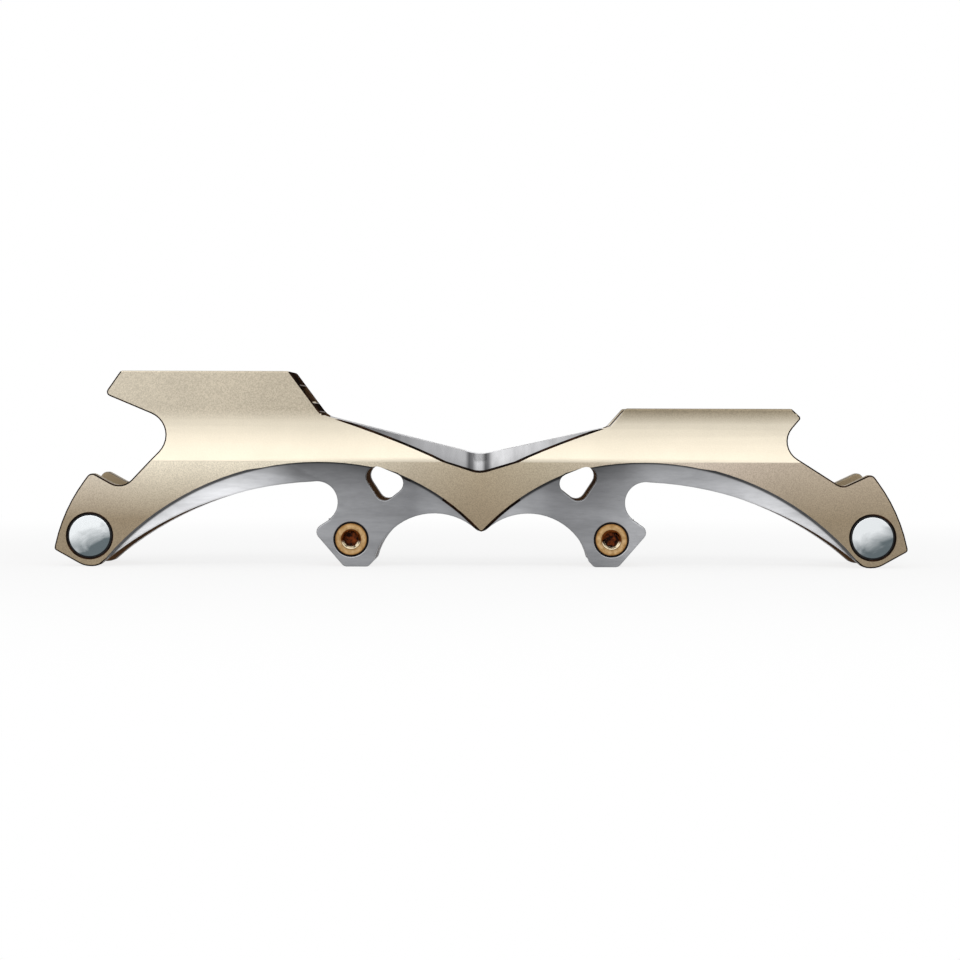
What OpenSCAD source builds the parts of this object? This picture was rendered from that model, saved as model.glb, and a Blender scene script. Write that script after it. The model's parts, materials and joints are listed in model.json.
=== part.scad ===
// Inline skate frame for four wheels: one milled chassis, and two-piece axles with their washers and covers.
// The frame stands on its axle tabs. +X points to the toe, the right-hand side of the frame is -Y, and Z is up.

/* [Wheels] */
// Distance from the first axle to the last
wheelbase = 231; // [225:1:237]
// Radius of the largest wheel that the frame takes
wheel_r = 38; // [36:0.5:38.5]
// Room left round a wheel
wheel_clearance = 0.75; // [0.5:0.25:1]
// Height of the heel and toe axles
outer_axle_z = 9; // [8.5:0.1:10]
// Height of the two middle axles, set lower so that the frame rocks a little
inner_axle_z = 8.1; // [7.6:0.1:9]

/* [Section] */
// Space between the side walls, for the wheels
channel_w = 24.6; // [24:0.2:26]
// Width across the lower part of the side walls
body_w = 34.8; // [33.5:0.1:36]
// Width across the decks
deck_w = 29; // [28.4:0.1:31]
// Height of the crease where the sides start to slope in
crease_z = 31; // [30:0.1:33]
// Height at which the slope ends, below the heel deck
flare_top_z = 47; // [46:0.5:49]
// Top of the heel deck
heel_deck_z = 57.8; // [57:0.1:60]
// Thickness of the heel deck
heel_deck_t = 4.3; // [3.5:0.1:5]
// Top of the front deck
front_deck_z = 47; // [46.2:0.1:47.8]
// Thickness of the front deck
front_deck_t = 4.2; // [3.4:0.1:5]
// Side walls of the hollow under the heel deck
box_wall = 2.6; // [2:0.1:3]
// Floor of that hollow, above the underside of the front deck
box_floor_t = 5.8; // [5:0.1:6.4]
// Lowest point of the bridges between the wheels
bridge_z = 29.6; // [28.5:0.1:30.5]
// Thickness of those bridges
bridge_t = 4.2; // [3:0.1:4.6]

/* [Side outline] */
// Radius of the long arch under each end
arch_r = 103.8; // [102:0.2:106]
// Crest of that arch
arch_crest_z = 25.2; // [24.5:0.1:26]
// How far the crest lies from the middle of the frame
arch_x = 45.2; // [44.5:0.1:46]
// Radius of the arch beside the middle point
mid_arch_r = 18.4; // [18:0.1:18.8]
// Crest of the arch beside the middle point
mid_arch_crest_z = 15.8; // [15.2:0.1:16.4]
// How far that arch lies from the middle of the frame
mid_arch_x = 13.9; // [13.6:0.1:14.2]
// Radius on the point at the middle
nose_r = 2.6; // [2:0.1:3]
// Radius of the hook between an arch and a middle axle tab
hook_r = 6.2; // [5.8:0.1:6.6]
// How far the hook lies from the middle of the frame
hook_x = 48.7; // [48.3:0.1:49.2]
// Lowest point of the valley between the two decks
vee_z = 33.1; // [32.4:0.1:34.2]
// Where that valley lies along the frame
vee_x = -0.5; // [-2:0.1:2]
// Radius in the bottom of the valley
vee_r = 11; // [8:0.5:14]

/* [Machined faces] */
// Depth of the bright faces that are milled into the sides
recess_d = 2; // [1.5:0.1:2.4]
// Radius of the edge of the bright face over the long arch
recess_r = 82.3; // [81:0.1:84]
// Crest of that edge
recess_crest_z = 31; // [30.4:0.1:31.4]
// How far that edge's centre lies from the middle of the frame
recess_x = 47.8; // [47:0.1:48.6]
// Radius of the edge of the bright face beside the middle point
mid_recess_r = 68; // [66:0.5:70]
// Crest of that edge, where it would end
mid_recess_crest_z = 32.1; // [31.6:0.1:32.6]
// How far that edge's centre lies from the middle of the frame
mid_recess_x = 50.1; // [49.4:0.1:50.8]
// Width of the bevel at the bottom of the valley, seen from the side
bevel_h = 5.2; // [4:0.1:5.4]
// Slope of the bevel on the heel side of the valley, in degrees
bevel_heel_deg = 12.3; // [12:0.1:13.4]
// Slope of the bevel on the toe side of the valley, in degrees
bevel_toe_deg = 11.8; // [11:0.1:12.4]

/* [Boot bolts] */
// Distance between the two boot bolts
boot_bolt_pitch = 165; // [160:1:168]
// Where the heel slot's middle lies
heel_slot_x = -87; // [-89:0.5:-84]
// Width of a slot, for an M8 bolt
slot_w = 8.5; // [8.2:0.1:9]
// Length of a slot from end to end
slot_l = 22; // [16:1:24]
// Width of the way in for the heel bolt's head
access_w = 17; // [15:0.5:20]
// Length of the way in for the heel bolt's head
access_l = 24; // [20:1:26]

/* [Axles] */
// Diameter of an axle, for an 8 mm bearing
axle_d = 8; // [8:1:8]
// Radial clearance of an axle in the chassis
axle_clearance = 0.05; // [0.02:0.01:0.08]
// Depth of the face that an axle's washer seats on, from the side of the frame
seat_inset = 3.4; // [3.2:0.1:3.6]
// Diameter of an axle's head
head_d = 9.4; // [9:0.1:9.8]
// Thickness of an axle's head
head_t = 1.1; // [0.9:0.1:1.4]
// Gap round a head in its counterbore
head_gap = 0.4; // [0.25:0.05:0.5]
// Thickness of a washer
washer_t = 0.4; // [0.3:0.1:0.6]
// Gap round a washer in its counterbore
washer_gap = 0.1; // [0.05:0.05:0.2]
// Width across the flats of the socket in a bolt's head
socket_af = 4; // [3:0.5:4]
// Diameter of the bevelled mouth of that socket
socket_mouth_d = 5.7; // [5.4:0.1:6.4]
// Depth of the socket
socket_d = 2.2; // [1.6:0.1:2.6]
// Diameter of the bolt's thread
thread_d = 6; // [5:0.5:6]
// Length of the bolt below its head
bolt_l = 8.4; // [7:0.2:10]
// Radial clearance of the thread
thread_clearance = 0.05; // [0.02:0.01:0.08]
// Width of the grooves at the ends of a wheel's seat
groove_w = 0.6; // [0.6:0.1:0.9]
// Depth of those grooves
groove_d = 0.2; // [0.1:0.05:0.4]

/* [Covers] */
// Diameter of the recess for a cover
cover_recess_d = 13.2; // [12.6:0.1:13.8]
// Depth of that recess
cover_recess_depth = 1.4; // [1.2:0.1:1.5]
// Width of the dark ring seen round a cover
ring_show = 0.5; // [0.3:0.05:0.6]
// Radial clearance of the ring in the recess
ring_clearance = 0.05; // [0.02:0.01:0.08]
// Thickness of a cover's rim
cover_rim_t = 0.4; // [0.3:0.05:0.5]
// Gap under a cover
cover_gap = 0.1; // [0.05:0.05:0.2]

/* [Hidden] */

$fn = 96;
// Overrun of a cut past the face that it opens
eps = 0.5;
// Longer than anything in the frame
far = 200;

// The four axles, from heel to toe
pitch = wheelbase / 3;
heel_axle = [-1.5 * pitch, outer_axle_z];
rear_mid_axle = [-0.5 * pitch, inner_axle_z];
front_mid_axle = [0.5 * pitch, inner_axle_z];
toe_axle = [1.5 * pitch, outer_axle_z];
axles = [heel_axle, rear_mid_axle, front_mid_axle, toe_axle];

// Distance from the middle of the frame to the face that an axle's washer seats on
seat_y = body_w / 2 - seat_inset;

// Levels of the section
box_floor_z = front_deck_z - front_deck_t + box_floor_t;
deck_under_z = front_deck_z - front_deck_t;
bridge_top_z = bridge_z + bridge_t;

// The flare is a hollow curve that leaves the upper side upright and meets the crease
flare_in = (body_w - deck_w) / 2;
flare_h = flare_top_z - crease_z;
flare_r = (flare_in * flare_in + flare_h * flare_h) / (2 * flare_in);

// Heights of the arcs' centres, from their crests
arch_cz = arch_crest_z - arch_r;
mid_arch_cz = mid_arch_crest_z - mid_arch_r;
recess_cz = recess_crest_z - recess_r;
mid_recess_cz = mid_recess_crest_z - mid_recess_r;
hook_z = arch_crest_z - hook_r;
nose_z = mid_arch_cz + sqrt(pow(mid_arch_r + nose_r, 2) - mid_arch_x * mid_arch_x);
nose_cut_z = mid_arch_cz + (nose_z - mid_arch_cz) * mid_arch_r / (mid_arch_r + nose_r);

// The toe tab hangs from the toe axle, and the heel tab mirrors it. A point is [x, z, corner radius]
tab_x = toe_axle.x;
tab_end = [
  [tab_x - 12, 6.5, 0],
  [tab_x - 2.4, 0, 5],
  [tab_x + 1.5, 0, 7],
  [tab_x + 10.5, 5, 1],
  [tab_x + 8, 16.8, 49],
  [tab_x - 0.2, 27.9, 1.8]
];

// Where the valley ends, under the heel deck and under the front deck
vee_end_heel = -47.3;
vee_end_toe = 37.8;

// Deck and notch outline over the toe, from the tab up and back to the valley
toe_top = [
  [tab_x - 9, 23.8, 3.2],
  [tab_x - 28, 35.9, 6],
  [tab_x - 20.8, front_deck_z - 2.7, 0.8],
  [tab_x - 23.7, front_deck_z, 1],
  [42.7, front_deck_z, 1],
  [vee_end_toe, front_deck_z - 5.5, 2.5]
];

// The same over the heel, from the valley back to the tab
heel_top = [
  [vee_end_heel, heel_deck_z - 13, 5],
  [-57, heel_deck_z, 1.2],
  [8.6 - tab_x, heel_deck_z, 1],
  [3.8 - tab_x, heel_deck_z - 6.9, 1.3],
  [27 - tab_x, heel_deck_z - 16.6, 7],
  [9.6 - tab_x, 22.7, 5]
];

// Middle axle tab, as seen on the toe side, with its first and last points out in the arches
leg_x = front_mid_axle.x;
leg = [
  [leg_x - 9.5, 0.5, 0],
  [leg_x - 6.7, 1.7, 0],
  [leg_x - 5.1, 0, 1.4],
  [leg_x + 2.1, 0, 1.6],
  [leg_x + 11.4, 10.7, 2.2],
  [leg_x + 6.4, 13.9, 0],
  [hook_x, hook_z, 0],
  [leg_x + 25, 12, 0]
];

// Window between the middle point and a middle axle tab
window = [
  [leg_x + 0.7, 33.3, 3.1],
  [leg_x - 18.3, 25.5, 3],
  [leg_x - 9.2, 18.4, 2.7]
];

// How far a chord of a drawn corner may lie from its true arc
sag = 0.04;

function mirrored(points) = [for (i = [len(points) - 1:-1:0]) [-points[i].x, points[i].y, points[i][2]]];

// Points along one corner: the corner itself, or the arc of its radius that touches both sides
function corner(before, at, after) =
  let (
    to_before = [before.x - at.x, before.y - at.y],
    to_after = [after.x - at.x, after.y - at.y],
    u = to_before / norm(to_before),
    v = to_after / norm(to_after),
    half = acos(max(-1, min(1, u * v))) / 2,
    r = at[2],
    middle = (u + v) / norm(u + v),
    centre = [at.x, at.y] + middle * r / sin(half),
    start = [at.x, at.y] + u * r / tan(half) - centre,
    turn = 180 - 2 * half,
    way = u.x * v.y - u.y * v.x > 0 ? -1 : 1,
    steps = r > 0 ? max(2, ceil(turn / (2 * acos(1 - sag / r)))) : 1
  )
  r == 0
    ? [[at.x, at.y]]
    : [for (i = [0:steps])
        let (a = way * turn * i / steps)
        centre + [start.x * cos(a) - start.y * sin(a), start.x * sin(a) + start.y * cos(a)]];

function rounded(points) =
  let (n = len(points))
  [for (i = [0:n - 1]) each corner(points[(i + n - 1) % n], points[i], points[(i + 1) % n])];

// The frame from the side, drawn in X and Z
module side_outline() {
  difference() {
    polygon(rounded(concat(
      leg,
      tab_end,
      toe_top,
      [[vee_x, vee_z, vee_r]],
      heel_top,
      mirrored(tab_end),
      mirrored(leg)
    )));
    for (side = [-1, 1]) {
      intersection() {
        translate([side * arch_x, arch_cz])
          circle(r = arch_r, $fn = 360);
        translate([side > 0 ? hook_x + 0.5 : -far - hook_x - 0.5, -eps])
          square([far, far]);
      }
      translate([side * hook_x, hook_z])
        circle(r = hook_r);
      translate([side * mid_arch_x, mid_arch_cz])
        circle(r = mid_arch_r, $fn = 180);
    }
    // The point at the middle ends in an arc, a hair wider than the two arches allow, so that it crosses them
    difference() {
      translate([-2 * nose_r, -eps])
        square([4 * nose_r, nose_cut_z + eps]);
      translate([0, nose_z])
        circle(r = nose_r + 0.02);
    }
    polygon(rounded(window));
    polygon(rounded(mirrored(window)));
  }
}

// Stands a drawing in X and Z upright, and gives it a depth along Y that is centred on y
module along_y(depth, y = 0) {
  translate([0, y + depth / 2, 0])
    rotate([90, 0, 0])
      linear_extrude(depth)
        children();
}

// The section that the chassis is cut from, as one long bar along X
module bar() {
  difference() {
    translate([-far, -body_w / 2, -eps])
      cube([2 * far, body_w, heel_deck_z + 2 * eps]);
    for (side = [-1, 1]) {
      // The hollow flare, and the upright side over it
      intersection() {
        translate([-far, side * (deck_w / 2 + flare_r), flare_top_z])
          rotate([0, 90, 0])
            cylinder(r = flare_r, h = 2 * far, $fn = 360);
        translate([-far, side * far / 2 - far / 2, crease_z])
          cube([2 * far, far, flare_h]);
      }
      translate([-far, side > 0 ? deck_w / 2 : -far - deck_w / 2, flare_top_z])
        cube([2 * far, far, heel_deck_z]);
    }
    translate([-far, -channel_w / 2, -2 * eps])
      cube([2 * far, channel_w, bridge_z + 2 * eps]);
    translate([-far, -channel_w / 2, bridge_top_z])
      cube([2 * far, channel_w, deck_under_z - bridge_top_z]);
    translate([-far, box_wall - deck_w / 2, box_floor_z])
      cube([2 * far, deck_w - 2 * box_wall, heel_deck_z - heel_deck_t - box_floor_z]);
  }
}

// Room for the wheels, cut out of the bridges and the deck floors
module wheel_room() {
  for (axle = axles) {
    translate([axle.x, channel_w / 2, axle.y])
      rotate([90, 0, 0])
        cylinder(r = wheel_r + wheel_clearance, h = channel_w, $fn = 180);
  }
  // The wheel behind the front deck stands up through it
  translate([front_mid_axle.x, -channel_w / 2, deck_under_z - eps])
    cube([front_relief_l, channel_w, far]);
}

// The front deck is open this far in front of the wheel's axle
front_relief_l = 16;

// The bright face over one arch and beside the middle point, in X and Z
module recess_outline() {
  intersection() {
    translate([recess_x, recess_cz])
      circle(r = recess_r, $fn = 360);
    union() {
      translate([mid_recess_x, mid_recess_cz])
        circle(r = mid_recess_r, $fn = 360);
      translate([mid_recess_x, -far])
        square([far, 2 * far]);
    }
  }
}

module recesses() {
  for (side = [-1, 1], end = [0, 1]) {
    mirror([end, 0, 0])
      along_y(body_w, side * (body_w - recess_d))
        recess_outline();
  }
}

// The bevels of the valley are cut along a line that climbs inwards at 45 degrees
module vee_outline() {
  low = vee_r / cos((bevel_heel_deg + bevel_toe_deg) / 2);
  lean = (bevel_toe_deg - bevel_heel_deg) / 2;
  middle = [-low * sin(lean), low * cos(lean)];
  left = middle - vee_r * [sin(bevel_heel_deg), cos(bevel_heel_deg)];
  right = middle + vee_r * [sin(bevel_toe_deg), -cos(bevel_toe_deg)];
  translate(middle)
    circle(r = vee_r);
  polygon([
    left,
    right,
    right + far * [cos(bevel_toe_deg), sin(bevel_toe_deg)],
    [0, far],
    left + far * [-cos(bevel_heel_deg), sin(bevel_heel_deg)]
  ]);
}

module vee_bevel() {
  intersection() {
    translate([vee_x, -body_w / 2, vee_z - bevel_h])
      rotate([45, 0, 0])
        rotate([90, 0, 0])
          translate([0, 0, -far / 2])
            linear_extrude(far)
              vee_outline();
    translate([vee_end_heel, -body_w, 0])
      cube([vee_end_toe - vee_end_heel, 2 * body_w, far]);
  }
}

module slot(x, w, l, z, depth) {
  translate([x, 0, z]) {
    for (side = [-1, 1]) {
      translate([side * (l - w) / 2, 0, 0])
        cylinder(d = w, h = depth);
    }
    translate([(w - l) / 2, -w / 2, 0])
      cube([l - w, w, depth]);
  }
}

// Axle bore with a counterbore on both sides, and a recess for a cover on the outer two
module axle_bore(axle, covered) {
  translate([axle.x, 0, axle.y])
    rotate([90, 0, 0]) {
      translate([0, 0, -body_w / 2 - eps])
        cylinder(d = axle_d + 2 * axle_clearance, h = body_w + 2 * eps);
      for (side = [0, 1]) {
        mirror([0, 0, side]) {
          translate([0, 0, seat_y])
            cylinder(d = head_d + 2 * head_gap, h = body_w / 2 - seat_y + eps);
          if (covered) {
            translate([0, 0, body_w / 2 - cover_recess_depth])
              cylinder(d = cover_recess_d, h = cover_recess_depth + eps);
          }
        }
      }
    }
}

module chassis() {
  color([0.75, 0.68, 0.57])
    difference() {
      intersection() {
        along_y(body_w + 2 * eps)
          side_outline();
        bar();
      }
      wheel_room();
      recesses();
      vee_bevel();
      mirror([0, 1, 0])
        vee_bevel();
      slot(heel_slot_x, slot_w, slot_l, box_floor_z + eps, far);
      slot(heel_slot_x + boot_bolt_pitch, slot_w, slot_l, deck_under_z - eps, far);
      slot(heel_slot_x + 3, access_w, access_l, deck_under_z - eps, box_floor_t + 2 * eps);
      for (i = [0:3]) {
        axle_bore(axles[i], i == 0 || i == 3);
      }
    }
}

// Turns a piece drawn along Z outwards: side 1 looks to -Y, the right-hand side, and side -1 to +Y
module at_axle(axle, side) {
  translate([axle.x, 0, axle.y])
    rotate([side * 90, 0, 0])
      children();
}

// The half of an axle that the wheel turns on. Its head is on the left-hand side, and the bolt screws into its end
module axle_barrel(axle) {
  end_y = seat_y - barrel_short;
  color([0.78, 0.6, 0.33])
    at_axle(axle, -1)
      difference() {
        union() {
          translate([0, 0, -end_y])
            cylinder(d = axle_d, h = end_y + seat_y + washer_t);
          translate([0, 0, seat_y + washer_t])
            cylinder(d = head_d, h = head_t);
        }
        translate([0, 0, -end_y - eps])
          cylinder(d = thread_d, h = eps + bolt_l + thread_clearance);
        for (end = [0, 1]) {
          mirror([0, 0, end])
            translate([0, 0, channel_w / 2 - groove_gap])
              difference() {
                cylinder(d = axle_d + 2 * eps, h = groove_w);
                translate([0, 0, -eps])
                  cylinder(d = axle_d - 2 * groove_d, h = groove_w + 2 * eps);
              }
        }
        socket();
      }
}

// The barrel ends this far short of the bolt's seat
barrel_short = 0.6;
// A wheel seat's grooves start this far inside the side walls
groove_gap = 0.2;
// Width across the corners of the socket
socket_corners = socket_af / cos(30);

// Socket for a key in an axle's head, with its bevelled mouth
module socket() {
  top = seat_y + washer_t + head_t;
  mouth_depth = (socket_mouth_d - socket_corners) / 2;
  translate([0, 0, top - socket_d])
    cylinder(d = socket_corners, h = socket_d + eps, $fn = 6);
  translate([0, 0, top - mouth_depth])
    cylinder(d1 = socket_corners, d2 = socket_mouth_d, h = mouth_depth);
}

// The half of an axle that clamps it, with its head on the right-hand side
module axle_bolt(axle) {
  color([0.78, 0.6, 0.33])
    at_axle(axle, 1)
      difference() {
        union() {
          translate([0, 0, seat_y + washer_t - bolt_l])
            cylinder(d = thread_d - 2 * thread_clearance, h = bolt_l);
          translate([0, 0, seat_y + washer_t])
            cylinder(d = head_d, h = head_t);
        }
        socket();
      }
}

module washer(axle, side, bore_d) {
  color([0.08, 0.08, 0.08])
    at_axle(axle, side)
      translate([0, 0, seat_y])
        difference() {
          cylinder(d = head_d + 2 * head_gap - 2 * washer_gap, h = washer_t);
          translate([0, 0, -eps])
            cylinder(d = bore_d + 2 * washer_gap, h = washer_t + 2 * eps);
        }
}

// Sizes of a cover and its ring
ring_d = cover_recess_d - 2 * ring_clearance;
cover_d = ring_d - 2 * ring_show;
cover_base_y = body_w / 2 - cover_recess_depth + cover_gap;
cover_hub_d = cover_d - 1;

// Cover over an outer axle's head: a polished rim on a narrower hub that carries the ring
module cover(axle, side) {
  color([0.82, 0.84, 0.87])
    at_axle(axle, side) {
      translate([0, 0, cover_base_y])
        cylinder(d = cover_hub_d, h = body_w / 2 - cover_base_y);
      translate([0, 0, body_w / 2 - cover_rim_t])
        cylinder(d = cover_d, h = cover_rim_t);
    }
}

module cover_ring(axle, side) {
  color([0.05, 0.05, 0.05])
    at_axle(axle, side)
      translate([0, 0, cover_base_y])
        difference() {
          cylinder(d = ring_d, h = body_w / 2 - cover_rim_t - cover_base_y);
          translate([0, 0, -eps])
            cylinder(d = cover_hub_d + 2 * ring_clearance, h = cover_recess_depth + 2 * eps);
        }
}

module heel_axle_barrel() { axle_barrel(heel_axle); }
module heel_axle_bolt() { axle_bolt(heel_axle); }
module heel_bolt_washer() { washer(heel_axle, 1, thread_d); }
module heel_barrel_washer() { washer(heel_axle, -1, axle_d); }
module rear_mid_axle_barrel() { axle_barrel(rear_mid_axle); }
module rear_mid_axle_bolt() { axle_bolt(rear_mid_axle); }
module rear_mid_bolt_washer() { washer(rear_mid_axle, 1, thread_d); }
module rear_mid_barrel_washer() { washer(rear_mid_axle, -1, axle_d); }
module front_mid_axle_barrel() { axle_barrel(front_mid_axle); }
module front_mid_axle_bolt() { axle_bolt(front_mid_axle); }
module front_mid_bolt_washer() { washer(front_mid_axle, 1, thread_d); }
module front_mid_barrel_washer() { washer(front_mid_axle, -1, axle_d); }
module toe_axle_barrel() { axle_barrel(toe_axle); }
module toe_axle_bolt() { axle_bolt(toe_axle); }
module toe_bolt_washer() { washer(toe_axle, 1, thread_d); }
module toe_barrel_washer() { washer(toe_axle, -1, axle_d); }
module heel_cover_right() { cover(heel_axle, 1); }
module heel_cover_ring_right() { cover_ring(heel_axle, 1); }
module heel_cover_left() { cover(heel_axle, -1); }
module heel_cover_ring_left() { cover_ring(heel_axle, -1); }
module toe_cover_right() { cover(toe_axle, 1); }
module toe_cover_ring_right() { cover_ring(toe_axle, 1); }
module toe_cover_left() { cover(toe_axle, -1); }
module toe_cover_ring_left() { cover_ring(toe_axle, -1); }

chassis();
heel_axle_barrel();
heel_axle_bolt();
heel_bolt_washer();
heel_barrel_washer();
rear_mid_axle_barrel();
rear_mid_axle_bolt();
rear_mid_bolt_washer();
rear_mid_barrel_washer();
front_mid_axle_barrel();
front_mid_axle_bolt();
front_mid_bolt_washer();
front_mid_barrel_washer();
toe_axle_barrel();
toe_axle_bolt();
toe_bolt_washer();
toe_barrel_washer();
heel_cover_right();
heel_cover_ring_right();
heel_cover_left();
heel_cover_ring_left();
toe_cover_right();
toe_cover_ring_right();
toe_cover_left();
toe_cover_ring_left();
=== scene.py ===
import json
from math import copysign, hypot, pi, radians

import bmesh
import bpy
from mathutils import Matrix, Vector


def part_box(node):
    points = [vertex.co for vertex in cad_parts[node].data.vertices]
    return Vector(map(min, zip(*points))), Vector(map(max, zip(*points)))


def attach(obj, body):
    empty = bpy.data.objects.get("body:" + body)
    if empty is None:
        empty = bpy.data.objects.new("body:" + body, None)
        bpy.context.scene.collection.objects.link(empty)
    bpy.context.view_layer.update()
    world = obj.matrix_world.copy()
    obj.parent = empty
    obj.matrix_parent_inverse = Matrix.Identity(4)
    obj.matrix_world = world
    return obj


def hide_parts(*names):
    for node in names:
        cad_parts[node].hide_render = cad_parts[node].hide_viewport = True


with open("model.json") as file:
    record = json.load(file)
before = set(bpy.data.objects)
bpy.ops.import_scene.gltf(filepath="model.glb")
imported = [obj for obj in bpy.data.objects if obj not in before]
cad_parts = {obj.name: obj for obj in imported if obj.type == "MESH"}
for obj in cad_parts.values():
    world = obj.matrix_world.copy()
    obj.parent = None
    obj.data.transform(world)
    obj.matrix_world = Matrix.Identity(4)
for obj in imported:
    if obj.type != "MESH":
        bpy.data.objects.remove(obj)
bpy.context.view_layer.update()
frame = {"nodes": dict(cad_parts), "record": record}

mm = 0.001
print("frame loaded:", len(frame["nodes"]), "nodes")


def middleOf(nodeName):
    low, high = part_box(nodeName)
    return [(a + b) / 2 for a, b in zip(low, high)]


# The axles' places in the side view. Those towards the heel mirror these in x
innerAxleX, _, innerAxleZ = middleOf("front_mid_axle_bolt")
outerAxleX, _, outerAxleZ = middleOf("toe_axle_bolt")


# Small helpers for node materials

def newMaterial(name):
    material = bpy.data.materials.new(name)
    material.use_nodes = True
    tree = material.node_tree
    shader = tree.nodes["Principled BSDF"]
    place = tree.nodes.new("ShaderNodeTexCoord").outputs["Object"]
    return material, tree, shader, place


def coordinates(tree, place):
    node = tree.nodes.new("ShaderNodeSeparateXYZ")
    tree.links.new(place, node.inputs["Vector"])
    return node.outputs["X"], node.outputs["Y"], node.outputs["Z"]


def noise(tree, vector, scale, detail=3.0, rough=0.5, distortion=0.0):
    node = tree.nodes.new("ShaderNodeTexNoise")
    node.inputs["Scale"].default_value = scale
    node.inputs["Detail"].default_value = detail
    node.inputs["Roughness"].default_value = rough
    node.inputs["Distortion"].default_value = distortion
    tree.links.new(vector, node.inputs["Vector"])
    return node.outputs["Fac"]


def stretchedNoise(tree, place, scales, turn=(0, 0, 0), **settings):
    # noise with its own scale along each axis
    node = tree.nodes.new("ShaderNodeMapping")
    node.inputs["Rotation"].default_value = turn
    node.inputs["Scale"].default_value = scales
    tree.links.new(place, node.inputs["Vector"])
    return noise(tree, node.outputs["Vector"], 1.0, **settings)


def spread(tree, value, low, high, fromLow=0.0, fromHigh=1.0, smooth=False):
    node = tree.nodes.new("ShaderNodeMapRange")
    node.interpolation_type = "SMOOTHSTEP" if smooth else "LINEAR"
    for socket, number in zip(("From Min", "From Max", "To Min", "To Max"), (fromLow, fromHigh, low, high)):
        node.inputs[socket].default_value = number
    tree.links.new(value, node.inputs["Value"])
    return node.outputs["Result"]


def rise(tree, value, start, end):
    # 0 up to the start, 1 from the end on
    return spread(tree, value, 0, 1, start, end)


def fall(tree, value, start, end):
    return spread(tree, value, 1, 0, start, end)


def calculate(tree, kind, first, second=0.0):
    node = tree.nodes.new("ShaderNodeMath")
    node.operation = kind
    for socket, value in zip(node.inputs, (first, second)):
        if isinstance(value, (int, float)):
            socket.default_value = value
        else:
            tree.links.new(value, socket)
    return node.outputs[0]


def hypotenuse(tree, first, second):
    # how long a line is whose two parts are at right angles
    squares = [calculate(tree, "MULTIPLY", side, side) for side in (first, second)]
    return calculate(tree, "SQRT", calculate(tree, "ADD", *squares))


def linear(red, green, blue):
    # an sRGB colour out of 255, as the linear one that a shader takes
    return tuple(v / 12.92 if v <= 0.04045 else ((v + 0.055) / 1.055) ** 2.4
                 for v in (red / 255, green / 255, blue / 255))


def grey(value):
    return linear(value, value, value)


def ramp(tree, value, stops):
    node = tree.nodes.new("ShaderNodeValToRGB")
    elements = node.color_ramp.elements
    while len(elements) < len(stops):
        elements.new(0.5)
    for element, (at, colour) in zip(elements, stops):
        element.position = at
        element.color = (*colour, 1)
    tree.links.new(value, node.inputs["Fac"])
    return node.outputs["Color"]


def greyRamp(tree, value, stops):
    return ramp(tree, value, [(at, grey(tone)) for at, tone in stops])


def tonesAlong(tree, value, reach, tones, tint=(0, 0, 0)):
    # a row of greys or colours, each at its place along an axis in millimetres
    low, high = reach
    along = rise(tree, value, low * mm, high * mm)
    stops = []
    for at, tone in tones:
        colour = tone if isinstance(tone, tuple) else tuple(tone + t for t in tint)
        stops.append(((at - low) / (high - low), linear(*colour)))
    return ramp(tree, along, stops)


def blendColour(tree, kind, amount, first, second):
    node = tree.nodes.new("ShaderNodeMix")
    node.data_type = "RGBA"
    node.blend_type = kind
    for socket, value in ((node.inputs[0], amount), (node.inputs[6], first), (node.inputs[7], second)):
        if isinstance(value, tuple):
            socket.default_value = (*value, 1)
        elif isinstance(value, (int, float)):
            socket.default_value = value
        else:
            tree.links.new(value, socket)
    return node.outputs[2]


def darken(tree, colour, by, amount=1.0):
    return blendColour(tree, "MULTIPLY", amount, colour, by)


def blendWhere(tree, first, second, colour, other):
    # the other colour shows where both shares are 1
    return blendColour(tree, "MIX", calculate(tree, "MULTIPLY", first, second), colour, other)


def setSurface(tree, shader, look, colour, texture):
    # what the object's materials share: a colour, and one texture for both the gloss and the fine relief
    tree.links.new(colour, shader.inputs["Base Color"])
    tree.links.new(spread(tree, texture, *look["roughness"]), shader.inputs["Roughness"])
    shader.inputs["Metallic"].default_value = look["metallic"]
    if "specular" in look:
        shader.inputs["Specular IOR Level"].default_value = look["specular"]
    if "relief" in look:
        node = tree.nodes.new("ShaderNodeBump")
        node.inputs["Distance"].default_value = look["relief"]
        tree.links.new(texture, node.inputs["Height"])
        tree.links.new(node.outputs["Normal"], shader.inputs["Normal"])


# Champagne anodising over a bead-blasted surface, with painted light and shade: the tones along x and up the
# wall stand in for how the light falls, and the pale flare above the crease is a painted highlight

champagneLook = {
    "lowest": linear(157, 141, 117),
    "underCrease": [(-115, (230, 218, 200)), (-96, (242, 232, 211)), (-50, (234, 225, 204)),
                    (-20, (194, 182, 161)), (0, (181, 166, 141)), (20, (192, 180, 157)),
                    (65, (214, 200, 184)), (78, (203, 188, 171)), (96, (197, 182, 162)),
                    (120, (198, 182, 160))],
    "deck": [(-125, (210, 200, 181)), (-60, (196, 185, 165)), (45, (146, 134, 112)), (100, (160, 147, 124))],
    "flare": linear(205, 196, 178),
    "reach": (-126, 126),
    "lowestZ": 14 * mm,
    "creaseZ": 31 * mm,
    "blurBelow": 0.15 * mm,
    "blurAbove": 0.2 * mm,
    "paleTopZ": 42.3 * mm,
    "fadeEndZ": 46.4 * mm,
    "grainScale": 3000,
    "speckle": [(0.36, 218), (0.5, 238), (0.62, 253)],
    "paleSpeckle": grey(252),
    "paleShare": 0.8,
    "cloudScale": 60,
    "cloud": [(0.3, 247), (0.7, 255)],
    "roughness": (0.35, 0.45),
    "metallic": 0.85,
    "relief": 0.02 * mm,
}


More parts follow.
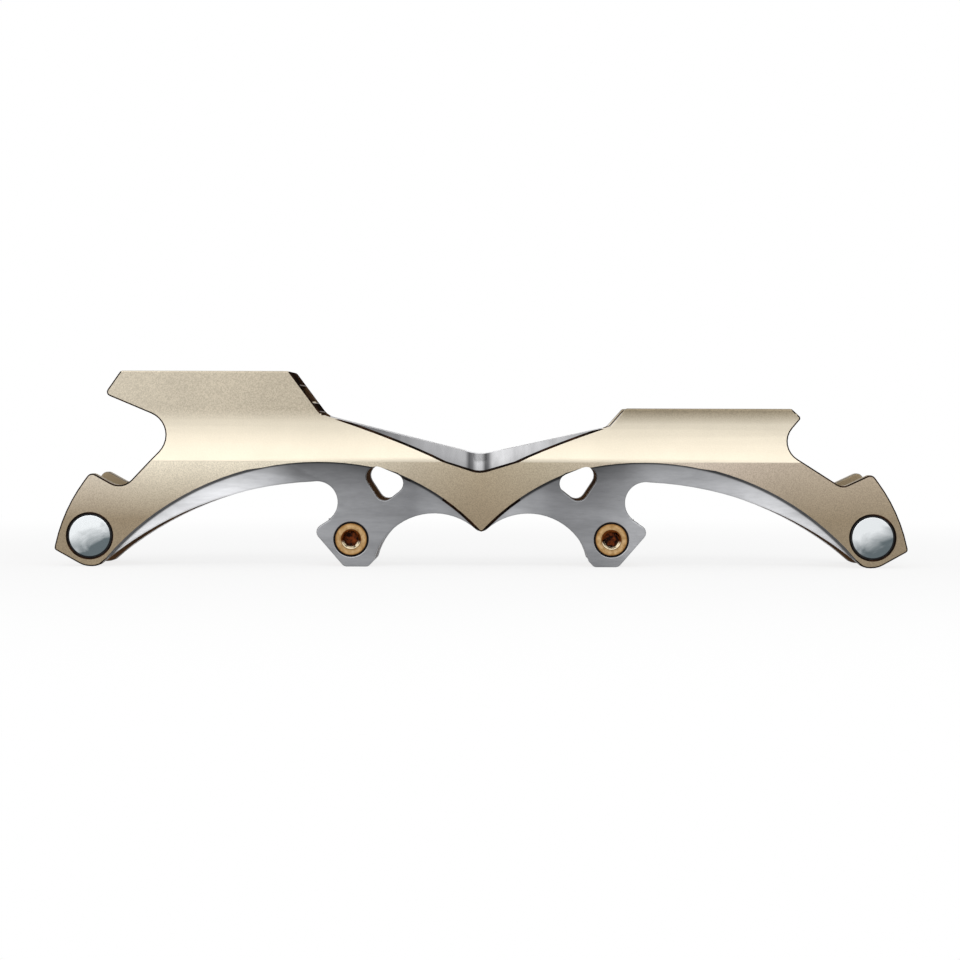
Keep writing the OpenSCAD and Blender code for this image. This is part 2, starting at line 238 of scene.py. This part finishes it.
def makeChampagne(look):
    material, tree, shader, place = newMaterial("champagneAnodised")
    x, _, z = coordinates(tree, place)
    creaseZ = look["creaseZ"]
    aboveCrease = rise(tree, z, creaseZ - look["blurBelow"], creaseZ + look["blurAbove"])
    climb = rise(tree, z, look["lowestZ"], creaseZ)
    fade = rise(tree, z, look["paleTopZ"], look["fadeEndZ"])
    underCrease = tonesAlong(tree, x, look["reach"], look["underCrease"])
    deck = tonesAlong(tree, x, look["reach"], look["deck"])
    below = blendColour(tree, "MIX", climb, look["lowest"], underCrease)
    above = blendColour(tree, "MIX", fade, look["flare"], deck)
    colour = blendColour(tree, "MIX", aboveCrease, below, above)
    grain = noise(tree, place, look["grainScale"], detail=2.0, rough=0.75)
    speckle = greyRamp(tree, grain, look["speckle"])
    # the grain is weaker on the flare's painted highlight
    pale = calculate(tree, "MULTIPLY", aboveCrease, calculate(tree, "SUBTRACT", 1.0, fade))
    calm = calculate(tree, "MULTIPLY", pale, look["paleShare"])
    speckle = blendColour(tree, "MIX", calm, speckle, look["paleSpeckle"])
    cloud = noise(tree, place, look["cloudScale"], detail=4.0)
    colour = darken(tree, darken(tree, colour, speckle), greyRamp(tree, cloud, look["cloud"]))
    setSurface(tree, shader, look, colour, grain)
    return material


# Painted shade inside the wheel channel: the anodising there is painted dark brown, as it looks in shade,
# with less painted shade at the channel's open ends, grey on the middle tabs, and bright along the valley,
# where the cutter ran over the channel's edge

channelShadeLook = {
    "tones": [(0.34, linear(54, 36, 23)), (0.5, linear(72, 50, 30)), (0.68, linear(96, 69, 40))],
    "driftScales": (160, 60, 160),
    "grainScale": 2200,
    "ends": linear(150, 134, 108),
    "endsX": (92 * mm, 97 * mm),
    "endsZ": (17 * mm, 21 * mm),
    "tabs": linear(168, 168, 170),
    "tabsX": (60 * mm, 66 * mm),
    "tabsZ": (9 * mm, 15 * mm),
    "rim": linear(226, 226, 228),
    "rimZ": 32.5 * mm,
    "rimSlopes": (-0.253, 0.219),
    "rimMiddleX": -4.75 * mm,
    "rimHalf": 41.75 * mm,
    "roughness": (0.44, 0.58),
    "metallic": 0.5,
    "specular": 0.25,
    "relief": 0.01 * mm,
}

# The broken edges round the outline, nearly black: painted shade, which the heel deck's slanted cut takes too
darkEdgeLook = {
    "tones": [(0.34, linear(16, 12, 10)), (0.5, linear(30, 22, 17)), (0.68, linear(66, 42, 28))],
    "driftScales": (160, 60, 160),
    "grainScale": 2200,
    "roughness": (0.44, 0.58),
    "metallic": 0.0,
    "specular": 0.0,
    "relief": 0.01 * mm,
}


def brightenPlaces(tree, place, look, colour):
    x, _, z = coordinates(tree, place)
    outwards = calculate(tree, "ABSOLUTE", x)
    colour = blendWhere(tree, rise(tree, outwards, *look["endsX"]), rise(tree, z, *look["endsZ"]),
                        colour, look["ends"])
    colour = blendWhere(tree, fall(tree, outwards, *look["tabsX"]), fall(tree, z, *look["tabsZ"]),
                        colour, look["tabs"])
    slopes = [calculate(tree, "MULTIPLY", x, slope) for slope in look["rimSlopes"]]
    height = calculate(tree, "SUBTRACT", z, calculate(tree, "MAXIMUM", *slopes))
    overRim = calculate(tree, "GREATER_THAN", height, look["rimZ"])
    fromMiddle = calculate(tree, "ABSOLUTE", calculate(tree, "SUBTRACT", x, look["rimMiddleX"]))
    alongRim = calculate(tree, "LESS_THAN", fromMiddle, look["rimHalf"])
    return blendWhere(tree, overRim, alongRim, colour, look["rim"])


def makePaintedShade(name, look):
    material, tree, shader, place = newMaterial(name)
    drift = stretchedNoise(tree, place, look["driftScales"], detail=4.0, rough=0.6)
    colour = ramp(tree, drift, look["tones"])
    if "ends" in look:
        colour = brightenPlaces(tree, place, look, colour)
    setSurface(tree, shader, look, colour, noise(tree, place, look["grainScale"], detail=2.0))
    return material


# Bright milled faces, with painted light and shade: the tones along x are painted, with a painted highlight
# where the arch runs out and painted shade under the arch's edge and round the crest. The dark "line" and the
# "shadow" are painted shade that runs inwards from the arch's edge, and "overTabs" says where along x the
# shadow falls

milledLook = {
    "archCentre": (47.8 * mm, -51.3 * mm),
    "archRadius": 82.3 * mm,
    "innerCentre": (50.1 * mm, -35.9 * mm),
    "innerRadius": 68 * mm,
    "tones": [(-108, 252), (-74, 248), (-62, 200), (-50, 164), (-34, 160), (-25, 154), (-20, 142), (-13, 168),
              (-8, 172), (8, 204), (15, 170), (21, 148), (35, 150), (43, 172), (54, 182), (64, 182),
              (76, 210), (84, 246), (108, 242)],
    "tint": (-1, 0, 3),
    "reach": (-120, 120),
    "line": [(0.0, 92), (0.03, 120), (0.08, 230), (0.3, 240), (0.7, 255)],
    "lineDepth": 8 * mm,
    "shadow": [(0.0, 176), (0.12, 186), (0.5, 218), (1.0, 255)],
    "shadowDepth": 14 * mm,
    "overTabs": [(-62, 0), (-54, 1), (-30, 1), (-18, 0), (18, 0), (30, 1), (42, 1), (50, 0.15), (60, 0)],
    "streak": [(0.3, 218), (0.5, 240), (0.7, 255)],
    "streakScales": (30, 60, 150),
    "streakTurn": (0, 0.35, 0),
    "fine": [(0.35, 246), (0.65, 255)],
    "fineScales": (300, 900, 1500),
    "roughness": (0.24, 0.36),
    "metallic": 0.9,
    "relief": 0.012 * mm,
}


def insideCircle(tree, x, z, centre, radius):
    # how far a point lies inside a circle of the side view, in metres
    side = calculate(tree, "SUBTRACT", calculate(tree, "ABSOLUTE", x), centre[0])
    up = calculate(tree, "SUBTRACT", z, centre[1])
    return calculate(tree, "SUBTRACT", radius, hypotenuse(tree, side, up))


def makeMilled(look):
    material, tree, shader, place = newMaterial("brightMilled")
    x, _, z = coordinates(tree, place)
    colour = tonesAlong(tree, x, look["reach"], look["tones"], look["tint"])
    # beyond its own middle the inner circle doesn't count, because the recess runs on past it
    beyond = calculate(tree, "GREATER_THAN", calculate(tree, "ABSOLUTE", x), look["innerCentre"][0])
    inner = calculate(tree, "ADD", insideCircle(tree, x, z, look["innerCentre"], look["innerRadius"]), beyond)
    arch = insideCircle(tree, x, z, look["archCentre"], look["archRadius"])
    inside = calculate(tree, "MINIMUM", arch, inner)
    low, high = look["reach"]
    overTab = ramp(tree, rise(tree, x, low * mm, high * mm),
                   [((at - low) / (high - low), (share,) * 3) for at, share in look["overTabs"]])
    shadow = greyRamp(tree, rise(tree, inside, 0, look["shadowDepth"]), look["shadow"])
    colour = darken(tree, colour, shadow, overTab)
    colour = darken(tree, colour, greyRamp(tree, rise(tree, inside, 0, look["lineDepth"]), look["line"]))
    streak = stretchedNoise(tree, place, look["streakScales"], look["streakTurn"], detail=5.0, rough=0.6,
                            distortion=0.8)
    fine = stretchedNoise(tree, place, look["fineScales"], detail=3.0, rough=0.6)
    colour = darken(tree, colour, greyRamp(tree, streak, look["streak"]))
    colour = darken(tree, colour, greyRamp(tree, fine, look["fine"]))
    setSurface(tree, shader, look, colour, fine)
    return material


# The bevel of the valley, with painted light brightest towards the toe and painted shade along its outer
# edge; where its two planes meet, painted dark lines of shade and a painted highlight stand in for the groove

valleyLook = {
    "reach": (-48, 40),
    "tones": [(-47, 100), (-30, 132), (-15, 182), (-4.8, 192), (-3.7, 92), (-2.6, 118), (-1.3, 232),
              (0.1, 222), (1.2, 92), (2.1, 120), (3.2, 226), (4.8, 238), (18, 214), (38, 172)],
    "tint": (0, 0, 2),
    "streak": [(0.3, 216), (0.5, 240), (0.7, 255)],
    "streakScales": (260, 40, 60),
    "fineScales": (1300, 500, 500),
    "outer": [(0.0, 255), (0.5, 250), (1.0, 226)],
    "outerY": (13 * mm, 17.4 * mm),
    "roughness": (0.2, 0.32),
    "metallic": 0.9,
    "relief": 0.012 * mm,
}


def makeValley(look):
    material, tree, shader, place = newMaterial("valleyMilled")
    x, y, _ = coordinates(tree, place)
    colour = tonesAlong(tree, x, look["reach"], look["tones"], look["tint"])
    streak = stretchedNoise(tree, place, look["streakScales"], detail=5.0, rough=0.6)
    colour = darken(tree, colour, greyRamp(tree, streak, look["streak"]))
    outer = rise(tree, calculate(tree, "ABSOLUTE", y), *look["outerY"])
    colour = darken(tree, colour, greyRamp(tree, outer, look["outer"]))
    setSurface(tree, shader, look, colour, stretchedNoise(tree, place, look["fineScales"], detail=2.0))
    return material


# Gold anodised axles. "rings" and "mouth" are tones by their distance from the axle's middle, in millimetres.
# "rings" paints shade in and round the socket's mouth and darkens the head's rim a little, and "mouth" places
# the glint, a painted highlight where the mouth of the socket faces up from below

goldLook = {
    "tones": [(0.32, linear(166, 134, 90)), (0.68, linear(204, 175, 134))],
    "turnedScales": (900, 300, 900),
    "headRadius": 5,
    "rings": [(0.0, (70, 34, 14)), (2.0, (96, 48, 20)), (2.75, (150, 96, 48)), (2.95, (84, 52, 30)),
              (3.1, (236, 228, 214)), (3.7, (255, 250, 244)), (4.3, (240, 228, 206)), (4.6, (170, 140, 100))],
    "mouth": [(2.0, 0), (2.2, 255), (2.8, 255), (2.95, 0)],
    "mouthLow": -0.55,
    "mouthHigh": -0.1,
    "glint": linear(255, 236, 200),
    "roughness": (0.25, 0.38),
    "metallic": 0.95,
    "relief": 0.02 * mm,
}


def aroundAxle(tree, x, z):
    # how far a point lies from its axle's middle line in the side view, and how much of that is upwards
    out = calculate(tree, "ABSOLUTE", x)
    outer = calculate(tree, "GREATER_THAN", out, (innerAxleX + outerAxleX) / 2)
    side = calculate(tree, "SUBTRACT", out, spread(tree, outer, innerAxleX, outerAxleX))
    up = calculate(tree, "SUBTRACT", z, spread(tree, outer, innerAxleZ, outerAxleZ))
    radius = hypotenuse(tree, side, up)
    notZero = calculate(tree, "MAXIMUM", radius, 0.1 * mm)
    return radius, calculate(tree, "DIVIDE", up, notZero)


def makeGold(look):
    material, tree, shader, place = newMaterial("goldAnodised")
    turned = stretchedNoise(tree, place, look["turnedScales"], detail=3.0, rough=0.6)
    colour = ramp(tree, turned, look["tones"])
    x, _, z = coordinates(tree, place)
    radius, up = aroundAxle(tree, x, z)
    reach = (0, look["headRadius"])
    colour = darken(tree, colour, tonesAlong(tree, radius, reach, look["rings"]))
    mouth = tonesAlong(tree, radius, reach, look["mouth"])
    lower = spread(tree, up, 1, 0, look["mouthLow"], look["mouthHigh"], smooth=True)
    colour = blendWhere(tree, mouth, lower, colour, look["glint"])
    setSurface(tree, shader, look, colour, turned)
    return material


# The sockets of the axle heads, dark inside: painted shade, mottled with painted glints

socketLook = {
    "tones": [(0.46, linear(24, 8, 4)), (0.7, linear(124, 58, 22))],
    "mottleScale": 700,
    "roughness": (0.3, 0.5),
    "metallic": 0.9,
}


def makeSocket(look):
    material, tree, shader, place = newMaterial("darkSocket")
    mottle = noise(tree, place, look["mottleScale"], detail=3.0, rough=0.6)
    setSurface(tree, shader, look, ramp(tree, mottle, look["tones"]), mottle)
    return material


# Black nylon washers and black rubber rings

nylonLook = {
    "tones": [(0.4, (0.012, 0.012, 0.013)), (0.75, (0.03, 0.03, 0.032))],
    "speckScale": 1800,
    "roughness": (0.4, 0.6),
    "metallic": 0.0,
    "specular": 0.12,
    "relief": 0.01 * mm,
}
rubberLook = dict(nylonLook, roughness=(0.52, 0.72))


def makeBlack(name, look):
    material, tree, shader, place = newMaterial(name)
    speck = noise(tree, place, look["speckScale"], detail=2.0)
    setSurface(tree, shader, look, ramp(tree, speck, look["tones"]), speck)
    return material


# Polished covers with a painted reflection: paler above, greyer below and to the right, with a soft uneven
# border between the two

polishedLook = {
    "tones": [(0.16, linear(96, 106, 110)), (0.7, linear(230, 234, 236))],
    "driftScales": (130, 40, 170),
    "borderSlope": 0.45,
    "borderHalf": 6 * mm,
    "unevenness": 0.35,
    "roughness": (0.11, 0.22),
    "metallic": 0.95,
}


def makePolished(look):
    material, tree, shader, place = newMaterial("polishedCover")
    x, _, z = coordinates(tree, place)
    drift = stretchedNoise(tree, place, look["driftScales"], detail=4.0, rough=0.55, distortion=1.2)
    axleX = calculate(tree, "MULTIPLY", calculate(tree, "SIGN", x), outerAxleX)
    sink = calculate(tree, "MULTIPLY", calculate(tree, "SUBTRACT", x, axleX), look["borderSlope"])
    height = calculate(tree, "SUBTRACT", calculate(tree, "SUBTRACT", z, outerAxleZ), sink)
    level = calculate(tree, "ADD", rise(tree, height, -look["borderHalf"], look["borderHalf"]),
                      spread(tree, drift, -look["unevenness"], look["unevenness"]))
    setSurface(tree, shader, look, ramp(tree, level, look["tones"]), drift)
    return material


champagne = makeChampagne(champagneLook)
milled = makeMilled(milledLook)
valley = makeValley(valleyLook)
channelShade = makePaintedShade("channelShadeInside", channelShadeLook)
darkEdge = makePaintedShade("darkEdge", darkEdgeLook)
gold = makeGold(goldLook)
socketDark = makeSocket(socketLook)
nylon = makeBlack("blackNylon", nylonLook)
rubber = makeBlack("blackRubber", rubberLook)
polished = makePolished(polishedLook)
print("materials made")


# Each piece of the frame is its CAD node with its edges broken, as a deburred part has them. The angles are
# in degrees

dressingLook = {
    "weld": 0.004 * mm,
    "flatAngle": 0.6,
    "cornerAngle": 30,
    "bluntAngle": 12,
    "shadeAngle": 38,
    "segments": 2,
}


def cornerEdges(form, blunt, leave):
    # the edges to break: the corners, and the blunt ones that are asked for
    corners = []
    for edge in form.edges:
        if len(edge.link_faces) == 2 and not (leave and leave(edge)):
            least = dressingLook["bluntAngle" if blunt and blunt(edge) else "cornerAngle"]
            if edge.calc_face_angle() > radians(least):
                corners.append(edge)
    return corners


def dressedCopy(nodeName, look, materials, pick=None, pickEdge=None, leave=None, blunt=None, correct=None):
    mesh = frame["nodes"][nodeName].data.copy()
    mesh.name = f"dressed_{nodeName}"
    mesh.materials.clear()
    for material in materials:
        mesh.materials.append(material)
    form = bmesh.new()
    form.from_mesh(mesh)
    bmesh.ops.remove_doubles(form, verts=form.verts, dist=look.get("weld", dressingLook["weld"]))
    bmesh.ops.dissolve_limit(form, angle_limit=radians(dressingLook["flatAngle"]), verts=form.verts,
                             edges=form.edges)
    form.normal_update()
    for face in form.faces:
        face.material_index = pick(face) if pick else 0
        face.smooth = True
    # short edges would narrow every bevel of the chassis, so there the width isn't clamped
    rounded = bmesh.ops.bevel(form, geom=cornerEdges(form, blunt, leave), offset=look["edge"],
                              offset_type="OFFSET", segments=dressingLook["segments"], profile=0.5,
                              affect="EDGES", clamp_overlap=pickEdge is None, material=-1)
    if correct:
        correct(form)
    if pickEdge:
        form.normal_update()
        for face in rounded["faces"]:
            face.material_index = pickEdge(face)
    form.to_mesh(mesh)
    form.free()
    mesh.set_sharp_from_angle(angle=radians(dressingLook["shadeAngle"]))
    piece = bpy.data.objects.new(f"dressed_{nodeName}", mesh)
    bpy.context.scene.collection.objects.link(piece)
    weighted = piece.modifiers.new("flatFaces", "WEIGHTED_NORMAL")
    weighted.keep_sharp = True
    body = next(b for b, members in frame["record"]["behaviour"]["bodies"].items() if nodeName in members)
    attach(piece, body)
    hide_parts(nodeName)
    return piece


# The chassis. Its faces and broken edges take their material from where they lie and which way they face.
# Y is measured outwards from the middle, and so is X, apart from the front deck's

# inside the channel and on most faces cut straight across the anodising is painted as it looks in shade, and
# the outline's broken edges are painted near-black shade
anodisedSlot, milledSlot, channelShadeSlot, valleySlot, darkSlot = range(5)

chassisLook = {
    "edge": 0.42 * mm,
    "weld": 0.08 * mm,  # closes the thin steps that the CAD leaves where two cuts meet
    "channelY": 12.4 * mm,
    "recessY": 15.4 * mm,
    "recessEdgeY": 15.42 * mm,
    "near": 0.05 * mm,  # how close counts as on a plane
    "tabY": 12.3 * mm,
    "tabTopZ": 19 * mm,
    "tabEndX": 60 * mm,
    "deckZ": 45 * mm,
    "heelTopZ": 57 * mm,
    "frontTopZ": 46 * mm,
    "frontTopX": 20 * mm,
    "frontSlopeX": (30 * mm, 46 * mm),
    "frontSlopeZ": 40 * mm,
    "archTopZ": 31.5 * mm,
    "archNear": 0.15 * mm,
    "archEdgeTopZ": 31.2 * mm,
    "archEdgeNear": 0.3 * mm,
    "archEdgeX": 12 * mm,
    "valleyX": 46.5 * mm,
    "valleyZ": (31 * mm, 45 * mm),
    "valleyInnerY": 14.5 * mm,
    "thinX": 47.2 * mm,  # where a wall is too thin to break its edge, along the valley and under the crease
    "thinZ": (33 * mm, 46 * mm),
    "thinCreaseX": (30 * mm, 66 * mm),
    "thinCreaseY": 15 * mm,
    "thinCreaseHeight": 1.6 * mm,
    "creaseLength": 60 * mm,  # the crease is the only edge of this length at its height
    "creaseDrop": (0.1 * mm, 0.5 * mm),
    "creaseRun": 2.2,  # how far its end slides along for each part that it had dropped
}

# How squarely a face is turned one way: 1 is square to it, 0 is edge-on
facing = {
    "side": 0.99,
    "top": 0.98,
    "nearlyTop": 0.9,
    "rim": 0.72,
    "innerRim": 0.4,
    "across": 0.05,
    "slope": 0.3,
    "edgeSlope": 0.2,
    "valley": (0.6, 0.8),
}


def between(value, reach):
    return reach[0] < value < reach[1]


def onArch(point, near):
    circles = ((milledLook["archCentre"], milledLook["archRadius"]),
               (milledLook["innerCentre"], milledLook["innerRadius"]))
    return any(abs(hypot(abs(point.x) - centre[0], point.z - centre[1]) - radius) < near
               for centre, radius in circles)


def pickChassis(face):
    look = chassisLook
    middle, normal = face.calc_center_median(), face.normal
    outwards, sideways = abs(middle.y), abs(normal.y)
    if sideways > facing["side"] and abs(outwards - look["recessY"]) < look["near"]:
        return milledSlot
    if normal.z > facing["valley"][0] and between(sideways, facing["valley"]):
        return valleySlot
    if sideways >= facing["across"]:
        return channelShadeSlot if outwards < look["channelY"] else anodisedSlot
    # what is left was cut straight across
    if outwards > look["recessY"] and middle.z < look["archTopZ"] and onArch(middle, look["archNear"]):
        return milledSlot
    # the heel deck's slanted cut takes the near-black painted shade
    if normal.x > facing["slope"] and middle.z > look["deckZ"]:
        return darkSlot
    onFrontSlope = middle.z > look["frontSlopeZ"] and between(middle.x, look["frontSlopeX"])
    if onFrontSlope and normal.x < -facing["slope"]:
        return anodisedSlot
    onTab = middle.z < look["tabTopZ"] and abs(middle.x) < look["tabEndX"]
    if onTab and outwards > look["tabY"]:
        return milledSlot
    onDeck = middle.z > look["heelTopZ"] or middle.x > look["frontTopX"] and middle.z > look["frontTopZ"]
    return anodisedSlot if onDeck and normal.z > facing["top"] else channelShadeSlot


def leaveSharp(edge):
    # where a wall runs out to nothing, under the crease and along the valley, its edge stays as cut
    look = chassisLook
    middle = (edge.verts[0].co + edge.verts[1].co) / 2
    inValley = abs(middle.x) < look["thinX"] and between(middle.z, look["thinZ"])
    if inValley and any(face.normal.z > facing["nearlyTop"] for face in edge.link_faces):
        return True
    atCrease = abs(middle.z - champagneLook["creaseZ"]) < look["thinCreaseHeight"]
    return atCrease and abs(middle.y) > look["thinCreaseY"] and between(abs(middle.x), look["thinCreaseX"])


def valleyRim(edge):
    # the lower edge of the valley's bevel, which is broken although it is blunt
    return sum(face.material_index == valleySlot for face in edge.link_faces) == 1


def straightenCrease(form):
    # the crease's inner end slides back onto the crease, along which the broken edge of the valley meets it
    look, creaseZ = chassisLook, champagneLook["creaseZ"]
    for edge in form.edges:
        inner, outer = sorted(edge.verts, key=lambda v: abs(v.co.x))
        drop = creaseZ - inner.co.z
        isCrease = abs(outer.co.x) - abs(inner.co.x) > look["creaseLength"] \
            and abs(outer.co.z - creaseZ) < look["near"]
        if isCrease and between(drop, look["creaseDrop"]):
            inner.co.x += copysign(drop * look["creaseRun"], inner.co.x)
            inner.co.z = outer.co.z = creaseZ


def pickChassisEdge(face):
    # an edge round the outline takes the near-black painted shade, one along a deck's top or up its front
    # doesn't
    look = chassisLook
    middle, normal = face.calc_center_median(), face.normal
    outwards, along = abs(middle.y), abs(middle.x)
    onRim = normal.z > facing["rim"] or normal.z > facing["innerRim"] and outwards < look["valleyInnerY"]
    if onRim and along < look["valleyX"] and between(middle.z, look["valleyZ"]):
        return valleySlot
    onFrontSlope = middle.z > look["frontSlopeZ"] and between(middle.x, look["frontSlopeX"])
    if onFrontSlope and normal.x < -facing["edgeSlope"]:
        return anodisedSlot
    if normal.z > facing["slope"] and middle.z > look["deckZ"] and abs(normal.x) < facing["slope"]:
        return anodisedSlot
    if outwards < look["channelY"]:
        return channelShadeSlot
    if outwards < look["recessEdgeY"] and middle.z < champagneLook["creaseZ"]:
        return milledSlot
    onEdge = along > look["archEdgeX"] and middle.z < look["archEdgeTopZ"]
    return milledSlot if onEdge and onArch(middle, look["archEdgeNear"]) else darkSlot


chassis = dressedCopy("chassis", chassisLook, [champagne, milled, channelShade, valley, darkEdge], pickChassis,
                      pickChassisEdge, leaveSharp, valleyRim, straightenCrease)
print("chassis dressed:", len(chassis.data.polygons), "faces")


# The axles with their washers and covers

axleLook = {
    "edge": 0.18 * mm,
    "socketRadius": 2.84 * mm,
    "socketTop": 0.25 * mm,
    "socketDepth": 2.5 * mm,
}
washerLook = {"edge": 0.08 * mm}
coverLook = {"edge": 0.14 * mm}
ringLook = {"edge": 0.12 * mm}

goldSlot, socketSlot = range(2)


def pickSocket(nodeName):
    low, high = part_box(nodeName)
    centreX, _, centreZ = middleOf(nodeName)
    headY = low[1] if nodeName.endswith("bolt") else high[1]

    def pick(face):
        middle = face.calc_center_median()
        deep = between(abs(middle.y - headY), (axleLook["socketTop"], axleLook["socketDepth"]))
        narrow = hypot(middle.x - centreX, middle.z - centreZ) < axleLook["socketRadius"]
        return socketSlot if deep and narrow else goldSlot
    return pick


def inSocket(nodeName):
    centreX, _, centreZ = middleOf(nodeName)
    return lambda edge: all(hypot(v.co.x - centreX, v.co.z - centreZ) < axleLook["socketRadius"]
                            for v in edge.verts)


for axle in ("heel", "rear_mid", "front_mid", "toe"):
    for half in ("axle_barrel", "axle_bolt"):
        nodeName = f"{axle}_{half}"
        piece = dressedCopy(nodeName, axleLook, [gold, socketDark], pickSocket(nodeName),
                            leave=inSocket(nodeName))
    for washer in ("bolt_washer", "barrel_washer"):
        piece = dressedCopy(f"{axle}_{washer}", washerLook, [nylon])

for axle in ("heel", "toe"):
    for side in ("right", "left"):
        piece = dressedCopy(f"{axle}_cover_{side}", coverLook, [polished])
        piece = dressedCopy(f"{axle}_cover_ring_{side}", ringLook, [rubber])
print("axles, washers and covers dressed")


# Floor, world and light. Seen directly or in metal, the floor turns to plain white away from the object and
# keeps the shadow near it

stageLook = {
    "floor": (0.9, 0.9, 0.9),
    "floorHalf": 6,
    "floorRoughness": 0.9,
    "whiteNear": 0.8,
    "whiteFrom": 0.1,
    "whiteTo": 0.45,
    "worldStrength": 0.55,
}
lampLook = {
    "topFront": {"place": (0, -0.55, 0.5), "size": (1.3, 0.5), "power": 3},
    "leftFill": {"place": (-0.45, -0.9, 0.3), "size": (0.6, 0.6), "power": 0.7},
}
lampAim = Vector((0, 0, 0.03))


def seenDirectly(tree):
    rays = tree.nodes.new("ShaderNodeLightPath")
    seen = calculate(tree, "MAXIMUM", rays.outputs["Is Camera Ray"], rays.outputs["Is Glossy Ray"])
    return calculate(tree, "MAXIMUM", seen, rays.outputs["Is Transmission Ray"])


def makeFloor(look):
    form = bmesh.new()
    bmesh.ops.create_grid(form, x_segments=1, y_segments=1, size=look["floorHalf"])
    mesh = bpy.data.meshes.new("floor")
    form.to_mesh(mesh)
    form.free()
    floor = bpy.data.objects.new("floor", mesh)
    bpy.context.scene.collection.objects.link(floor)
    material, tree, shader, place = newMaterial("paleFloor")
    shader.inputs["Base Color"].default_value = (*look["floor"], 1)
    shader.inputs["Roughness"].default_value = look["floorRoughness"]
    glow = tree.nodes.new("ShaderNodeEmission")
    glow.inputs["Color"].default_value = (1, 1, 1, 1)
    glow.inputs["Strength"].default_value = 1.0
    distance = tree.nodes.new("ShaderNodeVectorMath")
    distance.operation = "LENGTH"
    tree.links.new(place, distance.inputs[0])
    share = spread(tree, distance.outputs["Value"], look["whiteNear"], 1.0, look["whiteFrom"],
                   look["whiteTo"], smooth=True)
    mix = tree.nodes.new("ShaderNodeMixShader")
    tree.links.new(calculate(tree, "MULTIPLY", share, seenDirectly(tree)), mix.inputs[0])
    tree.links.new(shader.outputs[0], mix.inputs[1])
    tree.links.new(glow.outputs[0], mix.inputs[2])
    tree.links.new(mix.outputs[0], tree.nodes["Material Output"].inputs["Surface"])
    floor.data.materials.append(material)


def makeWorld(look):
    world = bpy.data.worlds.new("studio")
    bpy.context.scene.world = world
    world.use_nodes = True
    tree = world.node_tree
    background = tree.nodes["Background"]
    background.inputs["Color"].default_value = (1, 1, 1, 1)
    strength = spread(tree, seenDirectly(tree), look["worldStrength"], 1.0)
    tree.links.new(strength, background.inputs["Strength"])


def softLight(name, look):
    data = bpy.data.lights.new(name, "AREA")
    data.shape = "RECTANGLE"
    data.size, data.size_y = look["size"]
    data.energy = look["power"]
    lamp = bpy.data.objects.new(name, data)
    lamp.location = look["place"]
    lamp.rotation_euler = (lampAim - Vector(look["place"])).to_track_quat("-Z", "Y").to_euler()
    bpy.context.scene.collection.objects.link(lamp)


makeFloor(stageLook)
makeWorld(stageLook)
for name, look in lampLook.items():
    softLight(name, look)


# The camera, square to the right-hand side as in the photograph

cameraLook = {
    "place": (0.00752, -0.8074, 0.04200),
    "roll": -0.0028,
    "lens": 100.46,
    "sensor": 36,
    "shift": (-0.0281, -0.0573),
}


def makeCamera(look):
    data = bpy.data.cameras.new("camera")
    data.lens = look["lens"]
    data.sensor_width = look["sensor"]
    data.shift_x, data.shift_y = look["shift"]
    camera = bpy.data.objects.new("camera", data)
    camera.location = look["place"]
    camera.rotation_euler = (pi / 2, look["roll"], 0)
    bpy.context.scene.collection.objects.link(camera)
    bpy.context.scene.camera = camera


makeCamera(cameraLook)
bpy.context.scene.view_settings.view_transform = "Standard"
print("stage, lights and camera set")
